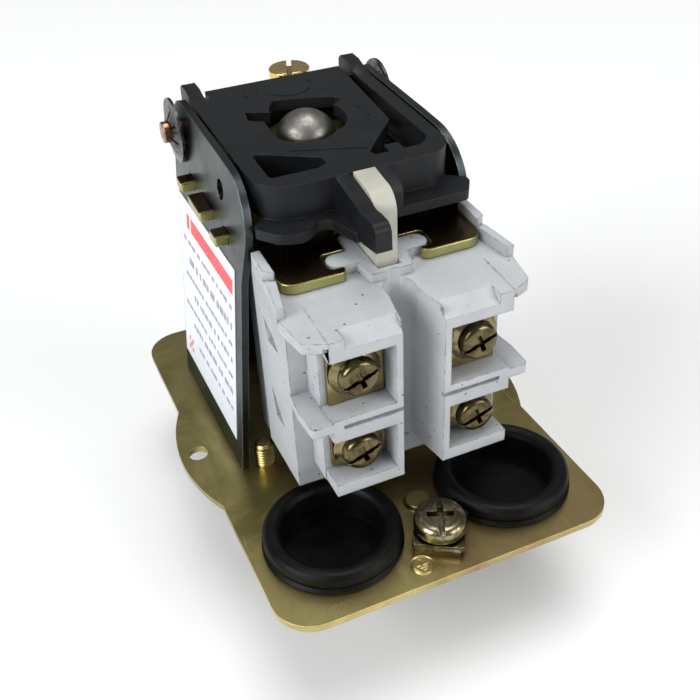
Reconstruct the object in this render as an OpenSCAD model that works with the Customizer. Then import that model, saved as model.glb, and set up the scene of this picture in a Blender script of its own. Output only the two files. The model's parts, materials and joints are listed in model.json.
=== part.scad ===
// Electromechanical pressure switch without its cover: a diaphragm under a steel base plate lifts a
// rod, the rod lifts a pivoted rocker, and the rocker lifts the contact carrier in a terminal block.
// Origin: centre of the pressure port's mouth. +Z points up along the rod, -Y to the terminals.

/* [Base plate] */
// Width of the base plate between its straight sides
plate_w = 72; // [71:0.5:74]
// Length of the base plate, front to back
plate_l = 103.5; // [102:0.5:106]
// Thickness of the base plate
plate_t = 1.5; // [1.2:0.1:1.8]
// Distance from the rod's axis to the front edge of the base plate
plate_front = 69; // [68:0.5:71]
// Distance between the two mounting holes in the side lobes
mount_pitch = 72; // [70:0.5:73]
// Diameter of the mounting holes
mount_d = 4.2; // [3.8:0.1:4.8]
// Distance between the axes of the two cable grommets
grommet_pitch = 38.4; // [37:0.2:39]

/* [Pressure head] */
// Height of the base plate's top above the mouth of the port
plate_z = 28; // [26:0.5:32]
// Width of the square diaphragm flange
flange_w = 58; // [57:0.5:60]
// Distance between the flange screws, both ways
screw_pitch = 47; // [46:0.5:47.5]
// Drilled diameter of the port's pipe thread
port_d = 11.45; // [11.2:0.05:11.8]
// Depth of the port's thread
port_depth = 12; // [10:0.5:13]

/* [Frame] */
// Distance between the outer faces of the side plates at the base plate
frame_w = 58; // [58:0.1:58.6]
// Inward lean of each side plate, in degrees
lean = 6; // [5.8:0.05:6.05]
// Thickness of the frame's sheet steel
sheet_t = 1.5; // [1.3:0.1:1.5]
// Height of the pivot pin above the base plate
pivot_z = 62.2; // [62.2:0.1:62.4]
// Distance of the pivot pin behind the rod's axis
pivot_y = 15.5; // [15.4:0.1:15.6]
// Radius of the pivot pin
pivot_r = 2.25; // [2:0.05:2.25]

/* [Rocker] */
// Slope of the rocker at rest, front end down, in degrees
rocker_tilt = 3; // [2.9:0.05:3.1]
// Width of the rocker's body
rocker_w = 39.6; // [39:0.1:39.6]

/* [Contact block] */
// Slope of the block's top and of the retainer plate, in degrees
top_tilt = 4.3; // [4.2:0.05:4.35]
// Height of the upper row of terminal screws above the base plate
upper_row_z = 38; // [37.5:0.1:38.5]
// Height of the lower row of terminal screws above the base plate
lower_row_z = 20.6; // [20.4:0.1:20.8]
// Distance of the terminal screws from the middle
terminal_x = 12.1; // [11.9:0.1:12.3]

/* [Hidden] */
$fn = 64;

plate_mid_y = plate_l / 2 - plate_front;
grommet_y = -50.6;
grommet_hole_r = 12.2;
ground_y = -59.3;
screw_r = 2;
hub_r = 7.9;
rod_r = 3;
rod_neck_r = 2.45;
bush_r = 6.95;
bar_z = 61.1;
bar_t = 1.5;
seat_z = 4.2;
upper_seat_z = 46;
side_x = frame_w / 2;
web_y = 21.2;
bend_r = 3;
block_front = -52.4;
block_low = 12.7;
pocket_back = -47;
cavity_top = 45.5;
strip_z = 31.2;
rivet_h = 0.8;
bridge_z = 34.2;
carrier_w = 4.4;
pin_y = -30.3;
pin_z = 61;
pin_local = [-45.8, 1.2];
retainer_y = -37.6;
retainer_z = 51.5;
retainer_t = 2.2;
stud_x = 7;
stud_y = 27;
ledge_z = 46;
diff_seat_z = 58.3;
clearance = 0.05;

// Puts a part that is drawn above the base plate's top face in its place.
module on_plate() {
    translate([0, 0, plate_z]) children();
}

// The child and its mirror image across the middle.
module pair() {
    children();
    mirror([1, 0, 0]) children();
}

// Extrudes a (y, z) outline from x0 to x1.
module side_profile(points, x0, x1) {
    translate([x0, 0, 0]) rotate([90, 0, 90]) linear_extrude(x1 - x0) polygon(points);
}

// Extrudes an (x, z) outline from y0 to y1.
module front_profile(points, y0, y1) {
    translate([0, y1, 0]) rotate([90, 0, 0]) linear_extrude(y1 - y0) polygon(points);
}

// A box given by its lowest and highest corners.
module box(low, high) {
    translate(low) cube(high - low);
}

// A flat rectangle with round corners.
module round_rect(w, d, r) {
    square([w - 2 * r, d], center = true);
    square([w, d - 2 * r], center = true);
    for (x = [-1, 1], y = [-1, 1]) translate([x * (w / 2 - r), y * (d / 2 - r)]) circle(r);
}

// Points of an arc from angle a0 to angle a1, in n steps.
function arc(cx, cy, r, a0, a1, n = 8) =
    [for (i = [0:n]) let (a = a0 + (a1 - a0) * i / n) [cx + r * cos(a), cy + r * sin(a)]];

// An outline with round corners, from corner entries [x, y, radius].
function rounded(p, n = 5) = [for (i = [0:len(p) - 1])
    let (b = [p[i][0], p[i][1]], q = p[(i + len(p) - 1) % len(p)], s = p[(i + 1) % len(p)],
        u = ([q[0], q[1]] - b) / norm([q[0], q[1]] - b), v = ([s[0], s[1]] - b) / norm([s[0], s[1]] - b),
        half = acos(u * v) / 2, r = p[i][2], c = b + (u + v) / norm(u + v) * r / sin(half),
        start = b + u * r / tan(half) - c, end = b + v * r / tan(half) - c,
        a0 = atan2(start[1], start[0]), turn = atan2(end[1], end[0]) - a0,
        sweep = turn > 180 ? turn - 360 : turn < -180 ? turn + 360 : turn)
    for (k = [0:(r > 0 ? n : 0)]) r > 0 ? c + r * [cos(a0 + sweep * k / n), sin(a0 + sweep * k / n)] : b];

// The children at the four flange screws.
module at_flange_screws() {
    for (x = [-1, 1], y = [-1, 1])
        translate([x * screw_pitch / 2, y * screw_pitch / 2, 0]) children();
}

// The children at the four terminal screws, with their Z axis along the screw and out of the block.
module at_terminals() {
    for (x = [-1, 1], z = [lower_row_z, upper_row_z])
        translate([x * terminal_x, pocket_back, z]) rotate([90, 0, 0]) children();
}

// A screw head with a domed top, a cross recess and one long slot, standing on z = 0.
module pan_head(r, h) {
    difference() {
        rotate_extrude() polygon(concat([[0, 0], [r, 0], [r, h * 0.45]],
            arc(r - h * 0.55, h * 0.45, h * 0.55, 0, 90, 6), [[0, h]]));
        for (a = [20, 110]) rotate(a) translate([-r * 0.5, -r * 0.12, h * 0.45]) cube([r, r * 0.24, h]);
        rotate(20) translate([-r - 1, -r * 0.09, h * 0.7]) cube([2 * r + 2, r * 0.18, h]);
    }
}

// A round wire coil around Z: mean radius, wire radius, length between its flat ends, and turns.
module coil(mean_r, wire_r, length, turns, steps = 20, sides = 8) {
    dead = 1.5;
    pitch = (length - 2 * wire_r - 2 * dead * 2 * wire_r) / (turns - 2 * dead);
    rings = turns * steps;
    function height(t) = wire_r + 2 * wire_r * min(t, dead)
        + pitch * max(0, min(t, turns - dead) - dead) + 2 * wire_r * max(0, t - turns + dead);
    points = [for (i = [0:rings], j = [0:sides - 1])
        let (t = i / steps, a = 360 * t, b = 360 * j / sides)
        [(mean_r + wire_r * cos(b)) * cos(a), (mean_r + wire_r * cos(b)) * sin(a),
         height(t) + wire_r * 0.98 * sin(b)]];
    walls = [for (i = [0:rings - 1], j = [0:sides - 1]) let (k = (j + 1) % sides)
        [i * sides + j, i * sides + k, (i + 1) * sides + k, (i + 1) * sides + j]];
    first = [for (j = [sides - 1:-1:0]) j];
    last = [for (j = [0:sides - 1]) rings * sides + j];
    polyhedron(points, concat([first], walls, [last]));
}

// ---------------------------------------------------------------- base and pressure head

module plate_outline() {
    lobe_r = 38.1;
    translate([0, plate_mid_y]) round_rect(plate_w, plate_l, 8);
    for (x = [-1, 1]) translate([x * (plate_w / 2 + 4 - lobe_r), -15]) circle(lobe_r, $fn = 128);
}

module earth_mark(h) {
    translate([-6.5, -64.4, 0]) {
        difference() {
            cylinder(r = 2.4, h = h);
            translate([0, 0, -1]) cylinder(r = 2.05, h = h + 2);
        }
        translate([-0.15, 0, 0]) cube([0.3, 1.5, h]);
        for (i = [0:2]) translate([-1.2 + 0.4 * i, -0.15 - 0.6 * i, 0]) cube([2.4 - 0.8 * i, 0.3, h]);
    }
}

module base_plate() on_plate() color("darkkhaki") {
    difference() {
        translate([0, 0, -plate_t]) linear_extrude(plate_t) plate_outline();
        for (x = [-1, 1])
            translate([x * grommet_pitch / 2, grommet_y, -3]) cylinder(r = grommet_hole_r, h = 6);
        for (x = [-1, 1]) translate([x * mount_pitch / 2, -14, -3]) cylinder(d = mount_d, h = 6);
        for (x = [-1, 1]) translate([x * 12, -26, -3]) cylinder(r = 2 + clearance, h = 6);
        translate([0, 0, -3]) cylinder(r = hub_r + 0.08, h = 6);
        translate([0, ground_y, -3]) cylinder(r = screw_r + clearance, h = 6);
        at_flange_screws() translate([0, 0, -3]) cylinder(r = screw_r + clearance, h = 6);
        pair() for (y = [-14.2, 7.8]) box([side_x - 1.75, y, -3], [side_x - 0.15, y + 8.4, 3]);
        translate([0, 0, -0.25]) earth_mark(1);
    }
    translate([0.5, -48.9, -0.2]) cylinder(r1 = 3.1, r2 = 2.5, h = 1.2);
}

module spacer_ring() on_plate() color("gainsboro") difference() {
    translate([0, 0, -plate_t - 4]) linear_extrude(4) round_rect(flange_w, flange_w, 6);
    translate([0, 0, -8]) cylinder(r = 16.5, h = 10);
    at_flange_screws() translate([0, 0, -8]) cylinder(r = screw_r + 0.2, h = 10);
}

module diaphragm() on_plate() color("dimgray") difference() {
    translate([0, 0, -plate_t - 5]) linear_extrude(1) round_rect(flange_w - 1, flange_w - 1, 5.5);
    at_flange_screws() translate([0, 0, -8]) cylinder(r = screw_r + 0.2, h = 10);
}

module pressure_housing() color("silver") {
    top = plate_z - plate_t - 5;
    flange_low = top - 5;
    difference() {
        union() {
            translate([0, 0, flange_low]) linear_extrude(5) round_rect(flange_w, flange_w, 6);
            translate([0, 0, flange_low - 3]) cylinder(r1 = 17, r2 = 20, h = 3.01);
            cylinder(r = 22 / sqrt(3), h = flange_low - 2, $fn = 6);
            rotate_extrude() polygon([[0, 0.01], [12.4, 0.01], [12.6, 2], [12.6, flange_low - 3],
                [14, flange_low - 2], [0, flange_low - 2]]);
        }
        translate([0, 0, top - 3]) cylinder(r = 16.5, h = 4);
        translate([0, 0, -1]) cylinder(d = port_d, h = port_depth + 1);
        translate([0, 0, port_depth - 1]) cylinder(r = 1.6, h = top);
        for (x = [-1, 1], y = [-1, 1]) translate([x * screw_pitch / 2, y * screw_pitch / 2, 0])
            cylinder(r = screw_r + 0.2, h = plate_z);
    }
}

module flange_screws() on_plate() color("darkkhaki") at_flange_screws() {
    translate([0, 0, -14.1]) cylinder(r = 4, h = 2.6, $fn = 6);
    translate([0, 0, -11.6]) cylinder(r = screw_r, h = 17);
    translate([0, 0, 5.3]) cylinder(r1 = screw_r, r2 = 1.5, h = 0.6);
}

// ---------------------------------------------------------------- rod and range spring

module plunger() on_plate() color("silver") {
    translate([0, 0, -plate_t - 4 + clearance]) cylinder(r = 15.5, h = 2.6);
    translate([0, 0, -3]) cylinder(r = hub_r, h = 5);
    translate([0, 0, 1]) cylinder(r = rod_r, h = bar_z - 1);
    translate([0, 0, bar_z - 1]) cylinder(r = rod_neck_r, h = 4.5);
}

module lower_spring_seat() on_plate() color("silver") difference() {
    union() {
        translate([0, 0, 2]) cylinder(r = 11.4, h = seat_z - 2);
        translate([0, 0, seat_z - 0.1]) cylinder(r1 = 7.9, r2 = 7.2, h = 2.1);
    }
    cylinder(r = rod_r + clearance, h = 10);
}

module range_spring() on_plate() color("slategray") translate([0, 0, seat_z])
    coil(9.6, 1.35, upper_seat_z - seat_z, 8, 20, 8);

module upper_spring_seat() on_plate() color("silver") difference() {
    union() {
        translate([0, 0, upper_seat_z]) cylinder(r = 11.4, h = 2.2);
        translate([0, 0, upper_seat_z - 2]) cylinder(r1 = 7.2, r2 = 7.9, h = 2.1);
    }
    translate([0, 0, 40]) cylinder(r = rod_r + 0.3, h = 12);
}

module range_adjuster() on_plate() color("goldenrod") difference() {
    union() {
        translate([0, 0, upper_seat_z + 2.25]) cylinder(r = bush_r, h = 8);
        translate([0, 0, 56]) cylinder(r = 13 / sqrt(3), h = 2.6, $fn = 6);
    }
    translate([0, 0, 45]) cylinder(r = rod_r + 0.3, h = 16);
}

module lift_bar() on_plate() color("olivedrab") difference() {
    union() {
        translate([0, 0, bar_z]) linear_extrude(bar_t) round_rect(28.6, 6, 1.4);
        translate([0, 0, bar_z]) cylinder(r = 8.2, h = bar_t);
        pair() box([12.5, -1.2, bar_z + bar_t - 0.1], [13.9, 1.2, bar_z + 2.1]);
    }
    translate([0, 0, bar_z - 1]) cylinder(r = rod_neck_r + clearance, h = 5);
}

module dome_nut() on_plate() color("silver") {
    low = bar_z + bar_t;
    difference() {
        rotate_extrude() polygon(concat([[0, low], [5.9, low], [6.2, low + 0.25]],
            arc(0, low - 2, 6.74, 23, 84, 13), [[0, low + 4.74]]));
        translate([0, 0, low - 1]) cylinder(r = rod_neck_r + clearance, h = 3.3);
    }
}

// ---------------------------------------------------------------- frame and retainer plate

// The part of the frame that leans: drawn upright against x = 0, outside facing +X.
module leaning() {
    translate([side_x, 0, 0]) rotate([0, -lean, 0]) children();
}

// One side plate, drawn through the base plate so that it can be trimmed level with it.
module side_plate() {
    corner = arc(-16.4, 56.5, 10.2, 180, 95, 8);
    rear = arc(14.8, 63, 5.7, 80, 0, 6);
    leaning() side_profile(concat([[-24, -4], [-24, 46.3]], corner, [[-10, 67.2]], rear,
        [[20.5, 50], [web_y - bend_r, 47.8], [web_y - bend_r, -4]]), -sheet_t, 0);
}

// The bend from a side plate into the web, with that side's half of the web.
module web_half() {
    start = web_y - bend_r;
    leaning() translate([0, 0, -4]) linear_extrude(51.8) polygon(concat([[0, 8]],
        arc(-bend_r, start, bend_r, 0, 90, 8), [[-side_x - 1, web_y], [-side_x - 1, web_y - sheet_t]],
        arc(-bend_r, start, bend_r - sheet_t, 90, 0, 8), [[-sheet_t, 8]]));
}

// The tabs of the retainer plate: [front end, rear end], measured from the rod's axis.
tabs = [[-17, -13.4], [-7.2, 0.9], [5.5, 9.2]];

// Height of the retainer plate's top face at a distance from the rod's axis.
function retainer_top(y) = retainer_z + (y - retainer_y) * tan(top_tilt);

module frame_bracket() on_plate() color("lightgray") {
    difference() {
        pair() {
            side_plate();
            web_half();
        }
        box([-50, -50, -20], [50, 50, 0.02]);
        box([-19.5, 15, 48.5], [19.5, 30, 80]);
        // Room for the bend of the ledge that carries the differential stud
        box([stud_x - 8.8, 10, ledge_z - 0.8], [stud_x + 8.8, 30, 60]);
        translate([-40, pivot_y, pivot_z]) rotate([0, 90, 0]) cylinder(r = pivot_r + 0.03, h = 80);
        translate([-40, -12, 60.2]) rotate([0, 90, 0]) cylinder(r = 2.1, h = 80);
        pair() for (t = tabs) {
            top = retainer_top((t[0] + t[1]) / 2);
            box([15, t[0] - 0.15, top - retainer_t - 0.35], [35, t[1] + 0.15, top + 0.35]);
        }
        for (x = [-12, 12]) translate([x, 30, 30]) rotate([90, 0, 0]) cylinder(r = 4, h = 20);
    }
    stud_ledge();
    pair() for (y = [-14, 8]) box([side_x - 1.7, y, -plate_t], [side_x - 0.2, y + 8, 1]);
}

// The ledge bent back from the top of the web, a hair thinner than the web that it runs into.
module stud_ledge() {
    inner = 0.82;
    outer = inner + sheet_t - 0.04;
    bend_y = web_y + 0.8;
    bend_z = ledge_z - 0.8;
    leg_z = ledge_z - 6;
    difference() {
        side_profile(concat([[bend_y - outer, leg_z]], arc(bend_y, bend_z, outer, 180, 90, 8),
            [[stud_y + 6.5, bend_z + outer], [stud_y + 6.5, bend_z + inner]],
            arc(bend_y, bend_z, inner, 90, 180, 6), [[bend_y - inner, leg_z]]), stud_x - 8, stud_x + 8);
        translate([stud_x, stud_y, 40]) cylinder(r = 2.05, h = 12);
    }
}

module rating_label() on_plate() color("white") mirror([1, 0, 0]) leaning()
    side_profile([[-20.5, 6.2], [17.8, 6.2], [17.8, 47.5], [-20.5, 47.5]], 0.01, 0.16);

// Places what is drawn in the retainer plate's own plane: its top face is z = 0 there, and
// y = 0 is the line through the front corners of its fingers.
module in_top_plane() {
    translate([0, retainer_y, retainer_z]) rotate([top_tilt, 0, 0]) children();
}

module retainer_plate() on_plate() color("saddlebrown") difference() {
    in_top_plane() translate([0, 0, -retainer_t]) linear_extrude(retainer_t) {
        polygon(rounded([[-20.5, 49, 0], [-20.5, 0, 3], [-7.7, 0, 1.4], [-7.7, 1.8, 0.3], [-10.6, 1.8, 1],
            [-10.6, 7, 1], [-5.4, 7, 0.5], [-5.4, 13, 1.2], [5.4, 13, 1.2], [5.4, 7, 0.5], [10.6, 7, 1],
            [10.6, 1.8, 1], [7.7, 1.8, 0.3], [7.7, 0, 1.4], [20.5, 0, 3], [20.5, 49, 0]]));
        for (t = tabs, x = [-1, 1])
            translate([x * 22, (t[0] + t[1]) / 2 - retainer_y]) square([8.6, t[1] - t[0]], center = true);
    }
    cylinder(r = bush_r + 0.1, h = 70);
}

// ---------------------------------------------------------------- contact block

// Height of the block's top face at a distance from the rod's axis.
function block_top(y) = retainer_top(y) - retainer_t - 0.06;

// One side's column with its insulating fins, before the pockets are cut.
module block_column() {
    side_x0 = 18.4;
    fin_x = 22.3;
    back = -41;
    side_profile([[block_front, block_low], [block_front, block_top(block_front)],
        [back, block_top(back)], [back, block_low]], 2, 18.2);
    box([14, block_front, block_low], [18.2, back, block_low + 2.1]);
    translate([0, 0, 28.4]) linear_extrude(2.1) polygon(rounded([[10, -40, 0], [10, block_front, 0],
        [22.3, block_front, 0.9], [22.6, -46, 0], [22, -40, 0]]));
    // The top fin, whose upper face is the block's sloping top
    intersection() {
        translate([0, 0, 44]) linear_extrude(8) polygon(rounded([[10, -40, 0], [10, block_front, 0],
            [18, block_front, 0.6], [22.4, -50.6, 1.6], [23.5, -43, 0], [22, -40, 0]]));
        side_profile([[block_front - 1, 46.1], [block_front - 1, block_top(block_front - 1)],
            [-39, block_top(-39)], [-39, 46.1]], 5, 30);
    }
    box([14, pocket_back, block_low], [side_x0, back, 47]);
}

// The raised boss around the carrier's slot, in the retainer plate's plane.
module block_boss() {
    in_top_plane() translate([0, 0, -3]) linear_extrude(2.7) {
        translate([0, 4.4]) square([16, 4.4], center = true);
        for (x = [-8, 8]) translate([x, 4.4]) circle(2.2);
        polygon(rounded([[-4.3, -2.4, 0.5], [4.3, -2.4, 0.5], [5.3, 4.9, 0], [5.3, 11.8, 1.2],
            [-5.3, 11.8, 1.2], [-5.3, 4.9, 0]]));
    }
}

// The two low rims along each edge of the block's top.
module block_rims() {
    in_top_plane() pair() {
        translate([0, 0, -3]) linear_extrude(3.1)
            polygon([[22.2, -5.4], [23.7, -5.4], [22.5, 3], [20.7, 2.6]]);
        translate([0, 0, -3]) linear_extrude(4.6)
            polygon([[20.7, 3.1], [22.6, 4.4], [22.4, 10.8], [20.7, 10.8]]);
        translate([0, 0, -3]) linear_extrude(2.7) polygon([[20.7, 2], [22.5, 2], [22.6, 5], [20.7, 5]]);
    }
}

module block_pockets() {
    inner = 5.6;
    for (z = [[15.4, 25.9], [31, 43.8]]) pair() box([inner, block_front - 1, z[0]], [30, pocket_back, z[1]]);
    // Chamfered hood over each column, and a groove under the upper sill
    pair() side_profile([[block_front - 1, 60], [block_front - 1, 45.2], [-49.2, block_top(-49.2)],
        [-47, 60]], 4.1, 15.2);
    pair() box([4.1, block_front - 1, 28.7], [16.1, block_front + 0.7, 29.5]);
    pair() side_profile([[block_front - 1, 46], [block_front - 1, 47], [block_front + 0.6, 47],
        [block_front + 0.6, 43]], 18.2, 19);
}

module block_channel() {
    translate([0, 0, block_low - 1]) linear_extrude(60) {
        polygon([[-4.3, block_front - 1], [4.3, block_front - 1], [4.2, block_front], [3.6, -48.4],
            [2.9, -44.5], [2.9, -42.5], [-2.9, -42.5], [-2.9, -44.5], [-3.6, -48.4], [-4.2, block_front]]);
        translate([0, -42.5]) circle(2.9);
    }
}

// Triangular dimples moulded into the outer walls.
module block_dimples() {
    pair() {
        side_profile([[-29, 41.3], [-30.4, 36.4], [-36, 37], [-33.6, 39.2]], 20.6, 23);
        side_profile([[-29.7, 24.8], [-31, 18.4], [-35.6, 18.2], [-33.6, 20.4]], 20.6, 23);
    }
}

module contact_block() on_plate() color("ivory") difference() {
    union() {
        pair() block_column();
        side_profile([[-41.2, 7.5], [-41.2, block_top(-41.2)], [-24.6, block_top(-24.6)], [-24.6, 7.5]],
            -22, 22);
        side_profile([[-24.7, 7.5], [-24.7, 49], [-18.5, 49], [-18.5, 7.5]], -21.4, 21.4);
        block_boss();
        block_rims();
        pair() box([8, -30, 0], [16, -22, 8]);
        for (x = [-12, 12]) translate([x, -26, -plate_t]) cylinder(r = 2, h = 3);
    }
    block_pockets();
    block_channel();
    block_dimples();
    box([-16.2, -38.2, 13.5], [16.2, -20, cavity_top]);
    box([-19.2, -20.1, 10.5], [19.2, -18, 47]);
    box([-carrier_w / 2 - 0.15, -38.7, 40], [carrier_w / 2 + 0.15, -27.3, 60]);
    pair() box([7.7, pocket_back - 1, strip_z - 0.15], [13.3, -38, strip_z + 1.15]);
    pair() box([7.7, pocket_back - 1, 16.05], [13.3, -38, 17.35]);
    at_terminals() translate([0, 0, -6]) cylinder(r = 1.85, h = 8);
}

module block_cover() on_plate() color("sienna") box([-19.1, -20, 10.6], [19.1, -18.6, 46.9]);

// Upper strips run level from the terminal to the front fixed contact.
module upper_terminal_strips() on_plate() color("goldenrod") pair() difference() {
    union() {
        box([6, pocket_back - 1, strip_z], [17.2, pocket_back, 43.4]);
        box([7.9, pocket_back - 1, strip_z], [13.1, -33.8, strip_z + 1]);
    }
    translate([terminal_x, -40, upper_row_z]) rotate([90, 0, 0]) cylinder(r = 1.85, h = 12);
}

// Lower strips run under the carrier and rise to the rear fixed contact.
module lower_terminal_strips() on_plate() color("goldenrod") pair() difference() {
    union() {
        box([6, pocket_back - 1, 16.2], [17.2, pocket_back, 25.5]);
        box([7.9, pocket_back - 1, 16.2], [13.1, -20.4, 17.2]);
        box([7.9, -21.4, 16.2], [13.1, -20.4, strip_z + 1]);
        box([7.9, -25.8, strip_z], [13.1, -20.4, strip_z + 1]);
    }
    translate([terminal_x, -40, lower_row_z]) rotate([90, 0, 0]) cylinder(r = 1.85, h = 12);
}

// The four contact positions: front and rear on each side.
module at_contacts() {
    for (x = [-10.5, 10.5], y = [-36, -23.6]) translate([x, y, 0]) children();
}

module fixed_contacts() on_plate() color("silver") at_contacts()
    translate([0, 0, strip_z + 1]) cylinder(r = 2, h = rivet_h);

module moving_contacts() on_plate() color("silver") at_contacts()
    translate([0, 0, strip_z + 1 + rivet_h + clearance]) cylinder(r = 2, h = bridge_z - strip_z - 1.85);

module contact_bridges() on_plate() color("peru") pair()
    box([8.1, -38, bridge_z], [12.9, -21.7, bridge_z + 1]);

module contact_springs() on_plate() color("silver") for (x = [-10.5, 10.5])
    translate([x, -30.2, bridge_z + 1]) coil(2.1, 0.35, cavity_top - bridge_z - 1, 7, 14, 6);

module terminal_clamps() on_plate() color("gold") at_terminals() translate([0, 0, 1.6]) difference() {
    rotate_extrude() polygon([[0, 0.4], [3.2, 0.4], [4.9, -0.35], [5.05, -0.1], [5.05, 0.35], [3.6, 1.2],
        [0, 1.2]]);
    translate([0, 0, -2]) cylinder(r = 1.8, h = 6);
}

module terminal_screws() on_plate() color("goldenrod") at_terminals() {
    translate([0, 0, 2.8]) pan_head(3.85, 2.1);
    translate([0, 0, -5.5]) cylinder(r = 1.75, h = 8.4);
}

module contact_carrier() on_plate() color("antiquewhite") {
    low = 26;
    rear = -28.7;
    front = -37.7;
    nose_r = 4.2;
    difference() {
        side_profile(concat([[rear, low], [rear, 66.1]], arc(front + nose_r, 61, nose_r, 90, 180, 10),
            [[front, low]]), -carrier_w / 2, carrier_w / 2);
        translate([-5, pin_y, pin_z]) rotate([0, 90, 0]) cylinder(r = 1.07, h = 10);
    }
    box([-13.4, -33.4, 31], [13.4, -27.4, bridge_z - 0.1]);
}

// ---------------------------------------------------------------- rocker

// Places what is drawn around the pivot with a level deck at its sloping rest position.
module at_pivot() {
    translate([0, pivot_y, pivot_z]) rotate([rocker_tilt, 0, 0]) children();
}

deck_z = 5.83;
flange_z0 = -2.9;
flange_z1 = -0.9;
body_front = -43.5;
body_rear = 3;

module rocker_outline() {
    w = rocker_w / 2;
    r = 6.5;
    polygon(concat([[w, body_rear]], [[-w, body_rear]], arc(r - w, body_front + r, r, 180, 270, 10),
        arc(w - r, body_front + r, r, 270, 360, 10)));
}

module rocker_flange() {
    translate([0, 0, flange_z0]) linear_extrude(flange_z1 - flange_z0) {
        polygon(rounded([[-3, -40, 0], [-3, -53, 0], [-5.7, -53, 0], [-8.2, -46.2, 2], [-10.4, -46.2, 1],
            [-13.8, -49.2, 3.4], [-18.4, -47.6, 3], [-21.4, -43.8, 1], [-21.2, -42.6, 0], [-20, -41.6, 0],
            [-18, -40, 0]]));
        polygon(rounded([[2.6, -40, 0], [2.6, -48.2, 0], [19.8, -48.2, 1.5], [22, -44.6, 1.5],
            [22, -43.2, 0], [18, -40, 0]]));
    }
}

module rocker_arm() {
    top = deck_z - 0.25;
    side_profile(concat([[-40, top], [-43.5, top], [-50, 4.6], [-54.4, 3.8], [-56.5, 4.1]],
        arc(-58.5, 2.2, 1.9, 80, 180, 6), [[-60.7, -0.8], [-55.4, -1.9], [-46, flange_z0],
        [-40, flange_z0]]), -5.5, -2.4);
    side_profile([[-40, top], [-43.5, top], [-47.2, 3.6], [-48, 2.4], [-48.2, flange_z0],
        [-40, flange_z0]], 2.4, 6);
}

// The openings in the deck: the dome's opening with its side notches, and the two front pockets.
module rocker_deck_holes() {
    translate([0, 0, -20]) linear_extrude(40) polygon(concat([[-5.9, -10.5], [-4.2, -8], [0.5, -9],
        [3.7, -10], [8, -11.8], [9.2, -13.4]], arc(-2, -18.9, 9, 23, -58, 10),
        arc(-3.1, -22.7, 6.5, -37, -198, 12),
        [[-9.3, -16.5], [-11.9, -14.6], [-11.2, -10.8], [-6.7, -12.8]]));
    translate([0, 0, 1]) linear_extrude(20) polygon(rounded([[-16.4, -39.2, 0.8], [-7, -39.2, 0.8],
        [-4.9, -38.2, 0.5], [-4.9, -35.6, 0.8], [-16.4, -28.6, 0.8]], 3));
    linear_extrude(20) polygon(rounded([[13.6, -26.6, 0.6], [15.2, -2.5, 0.4], [16.8, -2.5, 0.4],
        [16.8, -36, 1], [15.8, -37.8, 0.5], [14, -39, 0.5], [10.6, -39, 0.3], [10.6, -36.2, 0.5],
        [7.6, -36.2, 0.5], [7.6, -39, 0.3], [4.6, -39, 0.4], [4.2, -37.4, 0.6]], 3));
}

module rocker() on_plate() color([0.1, 0.1, 0.11]) at_pivot() difference() {
    union() {
        translate([0, 0, flange_z1]) linear_extrude(deck_z - flange_z1) rocker_outline();
        rocker_flange();
        rocker_arm();
        // Ears and cheeks around the pivot
        pair() side_profile(concat(arc(0, 0, 4.9, 200, 350, 8), [[6, 2.5], [6, 6.4], [5, 7.3], [1.5, 7.3],
            [-4, deck_z], [-12, deck_z], [-12, flange_z1]]), 16.6, rocker_w / 2);
        // Fork that reaches back around the differential adjuster
        pair_of_fork_arms();
    }
    rocker_deck_holes();
    // Hollow underside for the rod, the lift bar and the adjuster
    difference() {
        box([-16.4, -28, -10], [16.4, -1.6, 3.5]);
        pair() box([12.3, -17, 2.02], [14.1, -14.9, 4]);
    }
    // Notches between the deck and the ears
    pair() box([15.4, -1.5, -10], [16.8, 8, 10]);
    translate([-30, 0, 0]) rotate([0, 90, 0]) cylinder(r = pivot_r + 0.07, h = 60);
    translate([-4.6, pin_local[0], pin_local[1]]) rotate([0, 90, 0]) cylinder(r = 1.02, h = 12);
}

module pair_of_fork_arms() {
    for (x = [stud_x - 6.9, stud_x + 5.1]) side_profile([[-1.5, -0.9], [3, -1.6], [14.6, -2.55],
        [14.6, -0.4], [3, 3], [-1.5, 3.6]], x, x + 1.8);
    box([stud_x - 6.9, -1.5, -0.9], [stud_x + 6.9, 3, deck_z]);
}

module carrier_pin() on_plate() color("silver") at_pivot() translate([-4.5, pin_local[0], pin_local[1]])
    rotate([0, 90, 0]) cylinder(r = 0.98, h = 10.3);

module pivot_pin() on_plate() color("peru") translate([-26.3, pivot_y, pivot_z]) rotate([0, 90, 0]) {
    cylinder(r = pivot_r, h = 52.6);
}

// Dished push-on washers with eight radial slots.
module lock_washers() on_plate() color("dimgray") pair()
    translate([23.35, pivot_y, pivot_z]) rotate([0, 90, 0]) difference() {
        rotate_extrude() polygon([[0, 0.9], [2.9, 0.9], [5.6, 0], [6.75, 0], [6.75, 0.6], [5.7, 0.6],
            [3, 1.6], [0, 1.6]]);
        translate([0, 0, -1]) cylinder(r = pivot_r + 0.02, h = 4);
        for (a = [0:45:315]) rotate(a + 15) translate([1.5, -0.28, -1]) cube([3.3, 0.56, 4]);
    }

// ---------------------------------------------------------------- differential adjuster

module differential_stud() on_plate() color("darkkhaki") translate([stud_x, stud_y, 0]) {
    translate([0, 0, 43]) cylinder(r = 2, h = 18.6);
}

module stud_nut() on_plate() color("darkkhaki") translate([stud_x, stud_y, ledge_z - 2.4]) difference() {
    cylinder(r = 4.04, h = 2.4, $fn = 6);
    translate([0, 0, -1]) cylinder(r = 2.02, h = 5);
}

module differential_spring() on_plate() color("slategray") translate([stud_x, stud_y, ledge_z + sheet_t])
    coil(4.2, 0.6, diff_seat_z - ledge_z - sheet_t, 6, 16, 6);

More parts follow.
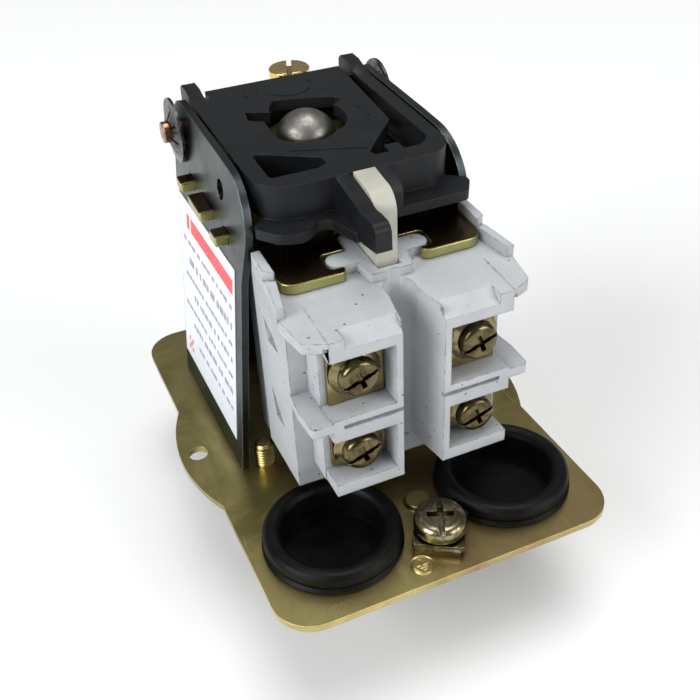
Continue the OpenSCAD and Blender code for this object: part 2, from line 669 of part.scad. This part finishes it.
module differential_seat() on_plate() color("silver") translate([stud_x, stud_y, diff_seat_z]) difference() {
    union() {
        cylinder(r = 6.6, h = 1.2);
        translate([0, 0, -1.4]) cylinder(r = 3.3, h = 1.5);
    }
    translate([0, 0, -3]) cylinder(r = 2.08, h = 6);
}

module differential_adjuster() on_plate() color("goldenrod")
    translate([stud_x, stud_y, diff_seat_z + 1.25])
    difference() {
        rotate_extrude() polygon([[0, 0], [3.4, 0], [3.6, 2.6], [3.4, 4.3], [4.65, 4.8], [4.65, 7],
            [4.3, 7.35], [0, 7.35]]);
        translate([0, 0, -1]) cylinder(r = 2.05, h = 6.2);
        rotate(70) translate([-6, -0.55, 5.9]) cube([12, 1.1, 4]);
    }

// ---------------------------------------------------------------- cable entries and earth terminal

module grommet() color([0.12, 0.12, 0.12]) {
    rotate_extrude() polygon(concat([[0, -4], [11.4, -4], [13.4, -3.4], [13.7, -2.9], [13.7, -plate_t - 0.02],
        [grommet_hole_r - 0.05, -plate_t - 0.02], [grommet_hole_r - 0.05, 0.02], [13.95, 0.02], [14.1, 0.5],
        [13.5, 1]], arc(12, 2.5, 1.9, -30, 180, 12), [[10.1, -3], [0, -3]]));
}

module grommet_left() on_plate() translate([-grommet_pitch / 2, grommet_y, 0]) grommet();

module grommet_right() on_plate() translate([grommet_pitch / 2, grommet_y, 0]) grommet();

module ground_screw() on_plate() color("khaki") translate([0, ground_y, 0]) {
    translate([0, 0, 3.3]) rotate(46) pan_head(5.3, 3.1);
    translate([0, 0, 2.75]) cylinder(r = 4.2, h = 0.6);
    translate([0, 0, -5]) cylinder(r = screw_r, h = 8.4);
}

module ground_clamp() on_plate() color("khaki") translate([0, ground_y, 0]) rotate(-33) difference() {
    union() {
        translate([0, 0, 1.5]) linear_extrude(1.2) round_rect(10.2, 10.2, 0.8);
        for (y = [-5.1, 3.9]) box([-4.4, y, 0.05], [4.4, y + 1.2, 1.8]);
    }
    cylinder(r = screw_r + clearance, h = 5);
}

base_plate();
frame_bracket();
rating_label();
retainer_plate();
contact_block();
block_cover();
upper_terminal_strips();
lower_terminal_strips();
fixed_contacts();
terminal_clamps();
terminal_screws();
contact_bridges();
moving_contacts();
contact_springs();
contact_carrier();
carrier_pin();
rocker();
pivot_pin();
lock_washers();
plunger();
lower_spring_seat();
range_spring();
upper_spring_seat();
range_adjuster();
lift_bar();
dome_nut();
differential_stud();
stud_nut();
differential_spring();
differential_seat();
differential_adjuster();
grommet_left();
grommet_right();
ground_screw();
ground_clamp();
spacer_ring();
diaphragm();
pressure_housing();
flange_screws();
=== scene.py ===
"""Looks of the pressure switch: finished pieces made from the CAD nodes, and a white studio."""

import json
import math
import random

import bmesh
import bpy
from mathutils import Matrix, Vector


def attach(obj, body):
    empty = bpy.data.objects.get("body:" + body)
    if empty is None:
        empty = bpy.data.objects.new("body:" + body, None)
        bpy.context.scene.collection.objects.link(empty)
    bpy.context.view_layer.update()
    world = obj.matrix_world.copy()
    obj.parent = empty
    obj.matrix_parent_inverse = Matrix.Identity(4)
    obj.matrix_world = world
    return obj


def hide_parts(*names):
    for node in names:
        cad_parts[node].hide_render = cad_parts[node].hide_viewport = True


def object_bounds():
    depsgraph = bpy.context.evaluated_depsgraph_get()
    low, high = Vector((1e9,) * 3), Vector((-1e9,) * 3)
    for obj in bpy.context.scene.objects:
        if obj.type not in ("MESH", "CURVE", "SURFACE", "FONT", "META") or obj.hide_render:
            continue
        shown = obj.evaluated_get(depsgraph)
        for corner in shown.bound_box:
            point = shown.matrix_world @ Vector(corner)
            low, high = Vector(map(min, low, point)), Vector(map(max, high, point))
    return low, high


MM = 0.001
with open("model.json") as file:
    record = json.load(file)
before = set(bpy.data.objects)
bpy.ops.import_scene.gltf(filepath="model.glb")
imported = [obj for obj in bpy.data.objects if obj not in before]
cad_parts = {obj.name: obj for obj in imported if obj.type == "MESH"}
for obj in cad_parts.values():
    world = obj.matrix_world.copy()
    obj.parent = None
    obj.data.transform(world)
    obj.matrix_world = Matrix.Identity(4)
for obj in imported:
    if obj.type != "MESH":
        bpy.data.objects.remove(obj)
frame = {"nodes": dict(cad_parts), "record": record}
cad_low, cad_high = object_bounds()


# ---------------------------------------------------------------- node materials


class Graph:
    """A node material with a Principled shader, built by short calls."""

    def __init__(self, name, **constants):
        self.material = bpy.data.materials.new(name)
        self.material.use_nodes = True
        self.tree = self.material.node_tree
        self.tree.nodes.clear()
        output = self.tree.nodes.new("ShaderNodeOutputMaterial")
        self.shader = self.tree.nodes.new("ShaderNodeBsdfPrincipled")
        self.tree.links.new(self.shader.outputs[0], output.inputs["Surface"])
        for socket, value in constants.items():
            self.set(self.shader.inputs[socket.replace("_", " ")], value)
        self.place = self.node("TexCoord").outputs["Object"]

    def set(self, socket, value):
        if isinstance(value, bpy.types.NodeSocket):
            self.tree.links.new(value, socket)
        elif isinstance(value, tuple) and len(value) == 3 and socket.type == "RGBA":
            socket.default_value = (*value, 1)
        else:
            socket.default_value = value

    def node(self, kind, settings=(), **inputs):
        made = self.tree.nodes.new("ShaderNode" + kind)
        for key, value in dict(settings).items():
            setattr(made, key, value)
        for socket, value in inputs.items():
            self.set(made.inputs[socket.replace("_", " ")], value)
        return made

    def noise(self, scale, detail=3.0, roughness=0.55, distortion=0.0, place=None):
        return self.node("TexNoise", Vector=place or self.place, Scale=scale, Detail=detail,
                         Roughness=roughness, Distortion=distortion).outputs["Fac"]

    def stretched(self, x, y, z):
        return self.node("Mapping", Vector=self.place, Scale=(x, y, z)).outputs["Vector"]

    def span(self, value, low, high, to_low=0.0, to_high=1.0):
        made = self.node("MapRange", Value=value, From_Min=low, From_Max=high, To_Min=to_low,
                         To_Max=to_high)
        return made.outputs["Result"]

    def math(self, operation, a, b=0.0):
        made = self.node("Math", {"operation": operation})
        self.set(made.inputs[0], a)
        self.set(made.inputs[1], b)
        return made.outputs[0]

    def mix(self, factor, a, b, blend="MIX"):
        made = self.node("Mix", {"data_type": "RGBA", "blend_type": blend})
        for index, value in ((0, factor), (6, a), (7, b)):
            self.set(made.inputs[index], value)
        return made.outputs[2]

    def edges(self, radius, low=0.02, high=0.25):
        """1 along sharp edges and 0 on flat faces."""
        soft = self.node("Bevel", {"samples": 6}, Radius=radius).outputs["Normal"]
        flat = self.node("NewGeometry").outputs["Normal"]
        dot = self.node("VectorMath", {"operation": "DOT_PRODUCT"})
        self.set(dot.inputs[0], soft)
        self.set(dot.inputs[1], flat)
        return self.span(self.math("SUBTRACT", 1.0, dot.outputs["Value"]), low, high)

    def bump(self, height, distance, strength=1.0, edge=0.00022):
        """Relief over the surface, with every sharp edge rounded by edge metres."""
        made = self.node("Bump", Height=height, Distance=distance, Strength=strength)
        soft = self.node("Bevel", {"samples": 4}, Radius=edge)
        self.set(made.inputs["Normal"], soft.outputs["Normal"])
        return made.outputs["Normal"]

    def finish(self, colour=None, roughness=None, normal=None):
        if colour is not None:
            self.set(self.shader.inputs["Base Color"], colour)
        if roughness is not None:
            self.set(self.shader.inputs["Roughness"], roughness)
        if normal is not None:
            self.set(self.shader.inputs["Normal"], normal)
        return self.material


def plated_steel(name, pale, deep, tint, roughness=(0.22, 0.42), patch=70.0, grain=0.000015,
                 edge=None):
    """Zinc-plated steel: colour drifts between pale, deep and a tint, with edges painted lighter,
    partly wear and partly a painted highlight.
    """
    g = Graph(name, Metallic=1.0)
    cloud = g.noise(patch, 4.0, 0.6, 0.6)
    colour = g.mix(g.span(cloud, 0.35, 0.68), pale, deep)
    hue = g.noise(patch * 0.45, 2.0, 0.5, 1.2)
    colour = g.mix(g.span(hue, 0.50, 0.72, 0.0, 0.7), colour, tint)
    fine = g.noise(2600.0, 3.0, 0.6)
    scratch = g.noise(900.0, 2.0, 0.5, 0.0, g.stretched(1.0, 0.06, 1.0))
    marks = g.span(scratch, 0.66, 0.72)
    colour = g.mix(g.math("MULTIPLY", marks, 0.3), colour, pale)
    # Edges take the lighter edge colour: partly wear, partly a painted highlight.
    if edge:
        colour = g.mix(g.math("MULTIPLY", g.edges(0.0003), 0.7), colour, edge)
    rough = g.span(g.math("ADD", cloud, g.math("MULTIPLY", fine, 0.4)), 0.4, 1.0, *roughness)
    normal = g.bump(g.math("ADD", fine, g.math("MULTIPLY", scratch, 1.5)), grain, 0.6)
    return g.finish(colour, rough, normal)


def turned_metal(name, colour_a, colour_b, roughness=(0.18, 0.35), recess_shade=(0.05, 0.04, 0.03)):
    """A turned or pressed metal part: bright, lightly stained, with painted shade darkening its
    recesses.
    """
    g = Graph(name, Metallic=1.0)
    stain = g.noise(420.0, 4.0, 0.6, 0.8)
    colour = g.mix(g.span(stain, 0.4, 0.65), colour_a, colour_b)
    # Painted shade: the colour darkens in hollows and recesses.
    hollow_shade = g.node("AmbientOcclusion", {"samples": 6}, Distance=0.0012).outputs["AO"]
    colour = g.mix(g.span(hollow_shade, 0.25, 0.75, 0.8, 0.0), colour, recess_shade)
    fine = g.noise(5200.0, 2.0, 0.5)
    rough = g.span(stain, 0.35, 0.7, *roughness)
    return g.finish(colour, rough, g.bump(fine, 0.00001, 0.5))


def thermoset(name):
    """White moulded thermoset: fine speckle, dark glassy specks, eroded and slightly dirty edges,
    and painted shade in its hollows.
    """
    g = Graph(name, Metallic=0.0, Specular_IOR_Level=0.35)
    cloud = g.noise(120.0, 4.0, 0.6)
    colour = g.mix(g.span(cloud, 0.3, 0.7), (0.53, 0.545, 0.565), (0.45, 0.465, 0.485))
    grain = g.noise(2400.0, 3.0, 0.7)
    colour = g.mix(g.span(grain, 0.55, 0.78, 0.0, 0.45), colour, (0.33, 0.33, 0.33))
    cells = g.node("TexVoronoi", {"feature": "F1"}, Vector=g.place, Scale=520.0)
    keep = g.node("TexWhiteNoise", Vector=cells.outputs["Position"]).outputs["Value"]
    dots = g.span(cells.outputs["Distance"], 0.10, 0.16, 1.0, 0.0)
    speck = g.math("MULTIPLY", dots, g.span(keep, 0.74, 0.80))
    colour = g.mix(g.math("MULTIPLY", speck, 0.8), colour, (0.07, 0.06, 0.055))
    chipped = g.span(g.noise(620.0, 5.0, 0.75), 0.44, 0.60)
    edge = g.math("MULTIPLY", g.edges(0.00055, 0.01, 0.16), chipped)
    colour = g.mix(g.math("MULTIPLY", edge, 0.8), colour, (0.12, 0.105, 0.095))
    # Painted shade: darker grey in hollows and narrow recesses.
    hollow_shade = g.node("AmbientOcclusion", {"samples": 6}, Distance=0.004).outputs["AO"]
    colour = g.mix(g.span(hollow_shade, 0.2, 0.8, 0.35, 0.0), colour, (0.16, 0.165, 0.17))
    pits = g.math("SUBTRACT", g.math("MULTIPLY", grain, 0.5), g.math("MULTIPLY", edge, 1.2))
    normal = g.bump(g.math("SUBTRACT", pits, g.math("MULTIPLY", speck, 0.5)), 0.00007, 0.8, 0.0003)
    return g.finish(colour, g.span(cloud, 0.3, 0.7, 0.42, 0.60), normal)


def moulded_plastic(name, colour_a, colour_b, roughness, worn, speck=0.25, texture=0.00002):
    """Injection-moulded plastic: faint flow clouds, fine texture, dust, and scuffed pale edges."""
    g = Graph(name, Metallic=0.0, Specular_IOR_Level=0.3)
    cloud = g.noise(160.0, 4.0, 0.6, 0.7)
    colour = g.mix(g.span(cloud, 0.3, 0.7), colour_a, colour_b)
    dust = g.noise(1500.0, 4.0, 0.75)
    colour = g.mix(g.span(dust, 0.62, 0.80, 0.0, speck), colour, worn)
    scuff = g.math("MULTIPLY", g.edges(0.00035), g.span(g.noise(600.0, 3.0, 0.6), 0.42, 0.66))
    colour = g.mix(g.math("MULTIPLY", scuff, 0.55), colour, worn)
    fine = g.noise(3600.0, 2.0, 0.6)
    rough = g.span(g.math("ADD", cloud, g.math("MULTIPLY", dust, 0.3)), 0.4, 1.0, *roughness)
    return g.finish(colour, rough, g.bump(fine, texture, 0.6))


def black_rubber(name):
    """Soft black rubber with a dry bloom and a faint orange-peel skin."""
    g = Graph(name, Metallic=0.0, Specular_IOR_Level=0.16)
    bloom = g.noise(240.0, 5.0, 0.65, 0.5)
    colour = g.mix(g.span(bloom, 0.40, 0.75), (0.0018, 0.0018, 0.0020), (0.0055, 0.0055, 0.0058))
    dust = g.span(g.noise(2300.0, 3.0, 0.7), 0.70, 0.82, 0.0, 0.30)
    colour = g.mix(dust, colour, (0.07, 0.07, 0.065))
    rough = g.span(bloom, 0.3, 0.7, 0.34, 0.50)
    return g.finish(colour, rough, g.bump(g.noise(1300.0, 3.0, 0.6), 0.00004, 0.6))


def label_film(name):
    """White label film, faintly clouded, under a thin gloss coat."""
    g = Graph(name, Metallic=0.0, Specular_IOR_Level=0.5, Coat_Weight=0.15, Coat_Roughness=0.25)
    cloud = g.noise(90.0, 3.0, 0.5)
    colour = g.mix(g.span(cloud, 0.3, 0.7), (0.86, 0.89, 0.95), (0.78, 0.81, 0.87))
    normal = g.bump(g.noise(700.0, 2.0), 0.00002, 0.4)
    return g.finish(colour, g.span(cloud, 0.3, 0.7, 0.30, 0.42), normal)


def ink(name, colour_a, colour_b):
    """Printed ink, thin in places."""
    g = Graph(name, Metallic=0.0, Specular_IOR_Level=0.4)
    cover = g.noise(1800.0, 3.0, 0.6)
    colour = g.mix(g.span(cover, 0.42, 0.68), colour_a, colour_b)
    return g.finish(colour, g.span(cover, 0.3, 0.7, 0.4, 0.55))


MATERIALS = {
    # Each plated steel's last colour is its edge colour: partly wear, partly a painted highlight.
    "yellow_zinc": plated_steel(
        "yellow_zinc", (0.60, 0.50, 0.21), (0.23, 0.195, 0.07), (0.36, 0.19, 0.12), (0.24, 0.42),
        48.0, edge=(0.60, 0.38, 0.20),
    ),
    "bright_zinc": plated_steel(
        "bright_zinc", (0.072, 0.080, 0.080), (0.040, 0.046, 0.046), (0.058, 0.070, 0.086),
        (0.28, 0.44), 90.0, edge=(0.50, 0.51, 0.49),
    ),
    "bronze_zinc": plated_steel(
        "bronze_zinc", (0.17, 0.105, 0.055), (0.085, 0.050, 0.028), (0.20, 0.19, 0.07),
        (0.20, 0.34), 60.0, edge=(0.62, 0.58, 0.30),
    ),
    # The retainer plate's rims take olive_zinc as a painted highlight.
    "olive_zinc": plated_steel(
        "olive_zinc", (0.50, 0.50, 0.20), (0.34, 0.36, 0.12), (0.50, 0.33, 0.15), (0.22, 0.38),
        120.0, edge=(0.70, 0.66, 0.34),
    ),
    "white_thermoset": thermoset("white_thermoset"),
    "brown_fibre": moulded_plastic(
        "brown_fibre", (0.12, 0.06, 0.03), (0.08, 0.04, 0.02), (0.5, 0.7), (0.22, 0.14, 0.09),
    ),
    # Every turned metal darkens in its recesses as painted shade; the screws' last colour is that
    # shade.
    "strip_brass": turned_metal("strip_brass", (0.36, 0.29, 0.13), (0.24, 0.18, 0.08)),
    "strip_brass_dark": turned_metal("strip_brass_dark", (0.40, 0.29, 0.14), (0.26, 0.13, 0.07)),
    "contact_silver": turned_metal("contact_silver", (0.80, 0.80, 0.78), (0.62, 0.61, 0.58)),
    "clamp_brass": turned_metal("clamp_brass", (0.28, 0.235, 0.115), (0.155, 0.12, 0.055)),
    "screw_gold": turned_metal(
        "screw_gold", (0.17, 0.14, 0.07), (0.07, 0.055, 0.025), (0.16, 0.30),
        (0.012, 0.010, 0.006),
    ),
    "screw_pale": turned_metal(
        "screw_pale", (0.34, 0.30, 0.185), (0.13, 0.105, 0.06), (0.18, 0.32),
        (0.012, 0.010, 0.006),
    ),
    "bridge_copper": turned_metal("bridge_copper", (0.74, 0.42, 0.27), (0.55, 0.28, 0.17)),
    "pin_copper": turned_metal("pin_copper", (0.40, 0.23, 0.14), (0.20, 0.11, 0.07), (0.2, 0.36)),
    "adjuster_brass": turned_metal("adjuster_brass", (0.88, 0.66, 0.24), (0.62, 0.43, 0.13)),
    "spring_steel": turned_metal(
        "spring_steel", (0.30, 0.31, 0.33), (0.18, 0.18, 0.17), (0.25, 0.42),
    ),
    "plain_steel": turned_metal(
        "plain_steel", (0.45, 0.45, 0.44), (0.30, 0.30, 0.29), (0.24, 0.40),
    ),
    "washer_steel": turned_metal(
        "washer_steel", (0.10, 0.10, 0.105), (0.05, 0.05, 0.052), (0.22, 0.38),
    ),
    "dome_nickel": turned_metal(
        "dome_nickel", (0.36, 0.335, 0.31), (0.20, 0.185, 0.17), (0.34, 0.50),
    ),
    "cast_aluminium": plated_steel(
        "cast_aluminium", (0.52, 0.52, 0.52), (0.38, 0.38, 0.38), (0.46, 0.47, 0.48), (0.42, 0.60),
        160.0, 0.00004,
    ),
    "cream_plastic": moulded_plastic(
        "cream_plastic", (0.54, 0.53, 0.46), (0.44, 0.425, 0.36), (0.34, 0.50), (0.26, 0.25, 0.22),
        0.2,
    ),
    "charcoal_plastic": moulded_plastic(
        "charcoal_plastic", (0.0045, 0.0052, 0.0064), (0.0080, 0.0090, 0.0110), (0.36, 0.52),
        (0.055, 0.060, 0.066), 0.28,
    ),
    "black_rubber": black_rubber("black_rubber"),
    "label_paper": label_film("label_paper"),
}
RED_INK = ink("red_ink", (0.80, 0.04, 0.05), (0.86, 0.22, 0.22))
GREY_INK = ink("grey_ink", (0.30, 0.25, 0.34), (0.52, 0.46, 0.56))


# ---------------------------------------------------------------- pieces made from CAD nodes

SLOT_OF = {row["node"]: row["material_slot"] for row in frame["record"]["subparts"]}
BODIES = frame["record"]["behaviour"]["bodies"]
BODY_OF = {node: body for body, nodes in BODIES.items() for node in nodes}
CREASE = 35.0  # degrees; sharper edges stay sharp
FLAT = 0.6  # degrees; faces flatter than this are merged
WELD = 2e-6


def shade(mesh):
    """Smooth shading, with sharp creases kept."""
    mesh.polygons.foreach_set("use_smooth", [True] * len(mesh.polygons))
    mesh.set_sharp_from_angle(angle=math.radians(CREASE))


def cleaned(node):
    """A welded copy of a CAD node's mesh, with flat regions merged into single faces."""
    mesh = frame["nodes"][node].data.copy()
    mesh.name = node + "_skin"
    work = bmesh.new()
    work.from_mesh(mesh)
    bmesh.ops.remove_doubles(work, verts=work.verts, dist=WELD)
    bmesh.ops.dissolve_limit(work, angle_limit=math.radians(FLAT), verts=work.verts,
                             edges=work.edges)
    work.to_mesh(mesh)
    work.free()
    return mesh


def add_piece(name, mesh, body, slot, node=None):
    """A visible piece that rides on a body and, with node, stands for that CAD node."""
    piece = bpy.data.objects.new(name, mesh)
    bpy.context.scene.collection.objects.link(piece)
    mesh.materials.clear()
    mesh.materials.append(MATERIALS[slot])
    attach(piece, body)
    if node:
        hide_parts(node)
    return piece


RIM_SLOPE = 0.6  # a face less level than this is part of a rim
TAB_X = 29.2  # the tabs stand beyond this
BEVEL_SEGMENTS = 2
BEVEL_ANGLE = 28.0


def highlight_rims(mesh):
    """The retainer plate's steep cut rims, and its tabs outside the frame, take the brighter olive
    zinc as a painted highlight.
    """
    mesh.materials.append(MATERIALS["olive_zinc"])
    for face in mesh.polygons:
        if abs(face.normal.z) < RIM_SLOPE or abs(face.center.x) > TAB_X * MM:
            face.material_index = 1


def rounded(node, width):
    """Stands for a CAD node: the same solid with its edges rounded by width millimetres."""
    mesh = cleaned(node)
    shade(mesh)
    piece = add_piece(node + "_piece", mesh, BODY_OF[node], SLOT_OF[node], node)
    # The retainer plate's rims get a painted highlight.
    if node == "retainer_plate":
        highlight_rims(mesh)
    bevel = piece.modifiers.new("edges", "BEVEL")
    bevel.width = width * MM
    bevel.segments = BEVEL_SEGMENTS
    bevel.limit_method = "ANGLE"
    bevel.angle_limit = math.radians(BEVEL_ANGLE)
    bevel.use_clamp_overlap = True
    bevel.harden_normals = True


# Millimetres of rounding on each CAD node's edges
ROUNDING = {
    "base_plate": 0.25, "frame_bracket": 0.22, "retainer_plate": 0.35, "contact_block": 0.22,
    "block_cover": 0.2, "upper_terminal_strips": 0.12, "lower_terminal_strips": 0.12,
    "terminal_clamps": 0.1, "terminal_screws": 0.12, "contact_bridges": 0.1,
    "contact_carrier": 0.3, "rocker": 0.3, "pivot_pin": 0.25, "lock_washers": 0.08,
    "plunger": 0.2, "lower_spring_seat": 0.2, "upper_spring_seat": 0.2, "range_adjuster": 0.3,
    "lift_bar": 0.25, "dome_nut": 0.15, "differential_stud": 0.2, "stud_nut": 0.2,
    "differential_seat": 0.2, "differential_adjuster": 0.2, "ground_screw": 0.15,
    "ground_clamp": 0.2, "spacer_ring": 0.3, "pressure_housing": 0.4, "flange_screws": 0.2,
}
for node, width in ROUNDING.items():
    rounded(node, width)
for node in frame["nodes"]:
    if node not in ROUNDING:
        cad = frame["nodes"][node]
        cad.data.materials.clear()
        cad.data.materials.append(MATERIALS[SLOT_OF[node]])


# ---------------------------------------------------------------- detail pieces

PORT_TO_PLATE = 28.0
SIDE_X = 29.0
LEAN = math.radians(6.0)
LABEL_FACE = 0.15
INK_DEPTH = 0.03


def mesh_piece(name, build, body, slot, material=None):
    """A detail piece from a bmesh that build fills in, in millimetres above the base plate."""
    work = bmesh.new()
    build(work)
    bmesh.ops.recalc_face_normals(work, faces=work.faces)
    for vertex in work.verts:
        vertex.co = (vertex.co + Vector((0, 0, PORT_TO_PLATE))) * MM
    mesh = bpy.data.meshes.new(name)
    work.to_mesh(mesh)
    work.free()
    shade(mesh)
    add_piece(name, mesh, body, slot)
    if material:
        mesh.materials.clear()
        mesh.materials.append(material)


def prism(work, corners, depth):
    """A closed solid from an outline of 3-D corners pushed along the vector depth."""
    front = [work.verts.new(c) for c in corners]
    back = [work.verts.new(c + depth) for c in corners]
    work.faces.new(front)
    work.faces.new(back[::-1])
    for i in range(len(front)):
        j = (i + 1) % len(front)
        work.faces.new((front[i], back[i], back[j], front[j]))


def on_label(y, height, lift):
    """A point on the left side plate, lift millimetres proud of it."""
    x = SIDE_X + lift * math.cos(LEAN) - height * math.sin(LEAN)
    return Vector((-x, y, lift * math.sin(LEAN) + height * math.cos(LEAN)))


def label_bar(work, y0, y1, z0, z1):
    """A bar of print, from y0 to y1 along the label and from z0 to z1 up it."""
    corners = [on_label(y, z, LABEL_FACE) for y, z in ((y0, z0), (y1, z0), (y1, z1), (y0, z1))]
    prism(work, corners, on_label(0, 0, INK_DEPTH) - on_label(0, 0, 0))


def red_print(work):
    """A plain red band with a short one after it, and a small chequered square."""
    low, high = 41.2, 44.6
    label_bar(work, -19.3, 9.5, low, high)
    label_bar(work, 10.6, 12.6, low, high)
    cell, pitch = 1.05, 1.15
    for row in range(3):
        for column in range(3):
            if (row + column) % 2 == 0:
                y, z = 11.2 + pitch * column, 8.6 + pitch * row
                label_bar(work, y, y + cell, z, z + cell)


def grey_print(work):
    """Rows of short strokes that stand for the label's small print."""
    draw = random.Random(11)
    # Each row's height above the plate, its own height and where it ends
    rows = (
        (37.4, 1.0, 16.0),
        (32.6, 1.7, 12.0),
        (28.6, 1.0, 14.5),
        (24.6, 1.3, 9.0),
        (20.6, 1.0, 15.5),
        (16.6, 1.3, 11.0),
        (12.4, 1.0, 6.5),
    )
    start = -18.6
    gaps = (0.45, 0.5, 1.3)
    for z, height, end in rows:
        y = start
        while y < end:
            length = draw.uniform(0.7, 2.6) * (0.8 + height * 0.3)
            label_bar(work, y, min(y + length, end), z, z + height)
            y += length + draw.choice(gaps)


THREAD_STEPS = 24  # per turn
THREAD_RUNOUT = 6  # steps in which the ridge rises from nothing


def screw_thread(work, centre, root, crest, low, high, pitch):
    """A helical ridge of triangular section."""
    last = int((high - low - pitch) / pitch * THREAD_STEPS)
    rings = []
    for i in range(last + 1):
        angle = 2 * math.pi * i / THREAD_STEPS
        rise = low + pitch * i / THREAD_STEPS
        taper = min(1.0, i / THREAD_RUNOUT, (last - i) / THREAD_RUNOUT)
        peak = root + (crest - root) * taper
        ring = []
        for radius, lift in ((root, 0.0), (peak, pitch * 0.45), (root, pitch * 0.9)):
            x = centre[0] + radius * math.cos(angle)
            y = centre[1] + radius * math.sin(angle)
            ring.append(work.verts.new((x, y, rise + lift)))
        rings.append(ring)
    for a, b in zip(rings, rings[1:]):
        for i in range(3):
            j = (i + 1) % 3
            work.faces.new((a[i], a[j], b[j], b[i]))
    work.faces.new(rings[0][::-1])
    work.faces.new(rings[-1])


def flange_threads(work):
    """M4 threads on the four screw ends that stand above the base plate."""
    reach = 23.5
    for x in (-reach, reach):
        for y in (-reach, reach):
            screw_thread(work, (x, y), 1.9, 2.16, 0.15, 5.4, 0.7)


PIVOT = Vector((0, 15.5, 62.2))
TILT = math.radians(3.0)
DECK = 5.83  # the deck's height over the pivot, square to it
RIDGE_TOP = 0.13
RIDGE_ROOT = -0.05


def on_deck(x, y, lift):
    """A point on the rocker's top face, from the pivot's line, lift millimetres proud of it."""
    z = DECK + lift
    back = y * math.cos(TILT) - z * math.sin(TILT)
    up = y * math.sin(TILT) + z * math.cos(TILT)
    return PIVOT + Vector((x, back, up))


def deck_strip(work, path, width):
    """A low moulded ridge along a path on the deck."""
    up = on_deck(0, 0, RIDGE_TOP) - on_deck(0, 0, RIDGE_ROOT)
    for a, b in zip(path, path[1:]):
        along = Vector((b[0] - a[0], b[1] - a[1])).normalized() * width / 2
        side = Vector((-along.y, along.x))
        outline = ((a, -1), (b, -1), (b, 1), (a, 1))
        corners = [
            on_deck(end[0] + hand * side.x, end[1] + hand * side.y, RIDGE_ROOT)
            for end, hand in outline
        ]
        prism(work, corners, up)


def deck_marks(work):
    """The mould's ejector ring, gate marks and a long knit ridge."""
    angles = [math.radians(a) for a in range(200, 336, 9)]
    ring = [(1.2 + 4.6 * math.cos(a), -2.6 + 4.2 * math.sin(a)) for a in angles]
    ridges = (
        (ring, 0.32),
        ([(-5.4, -1.2), (-6.2, -2.6)], 0.4),
        ([(-8.6, -2.4), (-8.0, -4.4)], 0.35),
        ([(6.4, -0.8), (6.9, -2.4)], 0.4),
        ([(-9.2, -30.6), (-1.2, -33.4), (4.4, -35.6)], 0.3),
        ([(10.2, -17.4), (10.9, -18.6)], 0.5),
        ([(10.4, -22.4), (11.2, -22.8)], 0.5),
    )
    for path, width in ridges:
        deck_strip(work, path, width)


def rear_rib(work):
    """The moulded rib across the rocker's underside, behind the deck opening."""
    left, right, front, back, top, low = -10.4, 12.0, -6.1, -4.7, -2.2, -8.3
    outline = ((left, top), (right, top), (right, low), (left, low))
    corners = [on_deck(x, front, lift) for x, lift in outline]
    prism(work, corners, on_deck(0, back, 0) - on_deck(0, front, 0))


mesh_piece("rear_rib", rear_rib, "rocker", "charcoal_plastic")
mesh_piece("deck_marks", deck_marks, "rocker", "charcoal_plastic")
mesh_piece("label_red_print", red_print, "base", "label_paper", RED_INK)
mesh_piece("label_grey_print", grey_print, "base", "label_paper", GREY_INK)
mesh_piece("flange_screw_threads", flange_threads, "base", "yellow_zinc")


# ---------------------------------------------------------------- studio and camera


FLOOR_SIZE = 6.0
WORLD_COLOUR = (0.94, 0.97, 1.0, 1)
WORLD_STRENGTH = 0.24
# Each lamp's name, place, size, power and colour
LAMPS = (
    ("key", (-1.8, -0.5, 1.1), 1.3, 35.0, (0.95, 0.98, 1.0)),
    ("top", (0.2, 0.1, 2.4), 1.6, 30.0, (1.0, 0.99, 0.97)),
    ("fill", (1.2, -1.6, 0.9), 1.2, 19.0, (1.0, 0.99, 0.98)),
)
LAMP_TARGET = Vector((0, 0, 0.06))


def studio():
    """A pale floor under the part, an even world and three soft lamps."""
    bpy.ops.mesh.primitive_plane_add(size=FLOOR_SIZE, location=(0, 0, cad_low.z))
    floor = bpy.context.object
    floor.name = "floor"
    g = Graph("floor_paint", Metallic=0.0, Roughness=0.9)
    paint = g.mix(g.noise(3.0), (0.94, 0.94, 0.94), (0.96, 0.96, 0.96))
    floor.data.materials.append(g.finish(paint))
    world = bpy.data.worlds.new("studio")
    bpy.context.scene.world = world
    world.use_nodes = True
    background = world.node_tree.nodes["Background"]
    background.inputs["Color"].default_value = WORLD_COLOUR
    background.inputs["Strength"].default_value = WORLD_STRENGTH
    for name, place, size, power, colour in LAMPS:
        light = bpy.data.lights.new(name, "AREA")
        light.shape = "SQUARE"
        light.size = size
        light.energy = power
        light.color = colour
        lamp = bpy.data.objects.new(name, light)
        lamp.location = place
        lamp.rotation_mode = "QUATERNION"
        lamp.rotation_quaternion = (Vector(place) - LAMP_TARGET).to_track_quat("Z", "Y")
        bpy.context.scene.collection.objects.link(lamp)


LENS = 48.56
SENSOR = 36.0
CAMERA_PLACE = (-0.06384, -0.17254, 0.16747)
CAMERA_RIGHT = Vector((0.9119858, -0.40815948, -0.04108211))
CAMERA_UP = Vector((0.26961561, 0.52090553, 0.80991657))
CAMERA_BACK = Vector((-0.30917523, -0.74970879, 0.58510461))


def camera():
    """The view from the left front, 36 degrees above, with a slight roll."""
    data = bpy.data.cameras.new("camera")
    data.lens = LENS
    data.sensor_width = SENSOR
    data.clip_start, data.clip_end = 0.01, 20.0
    eye = bpy.data.objects.new("camera", data)
    turn = Matrix((CAMERA_RIGHT, CAMERA_UP, CAMERA_BACK)).transposed().to_4x4()
    eye.matrix_world = Matrix.Translation(CAMERA_PLACE) @ turn
    bpy.context.scene.collection.objects.link(eye)
    bpy.context.scene.camera = eye


studio()
camera()
bpy.context.scene.view_settings.view_transform = "Standard"
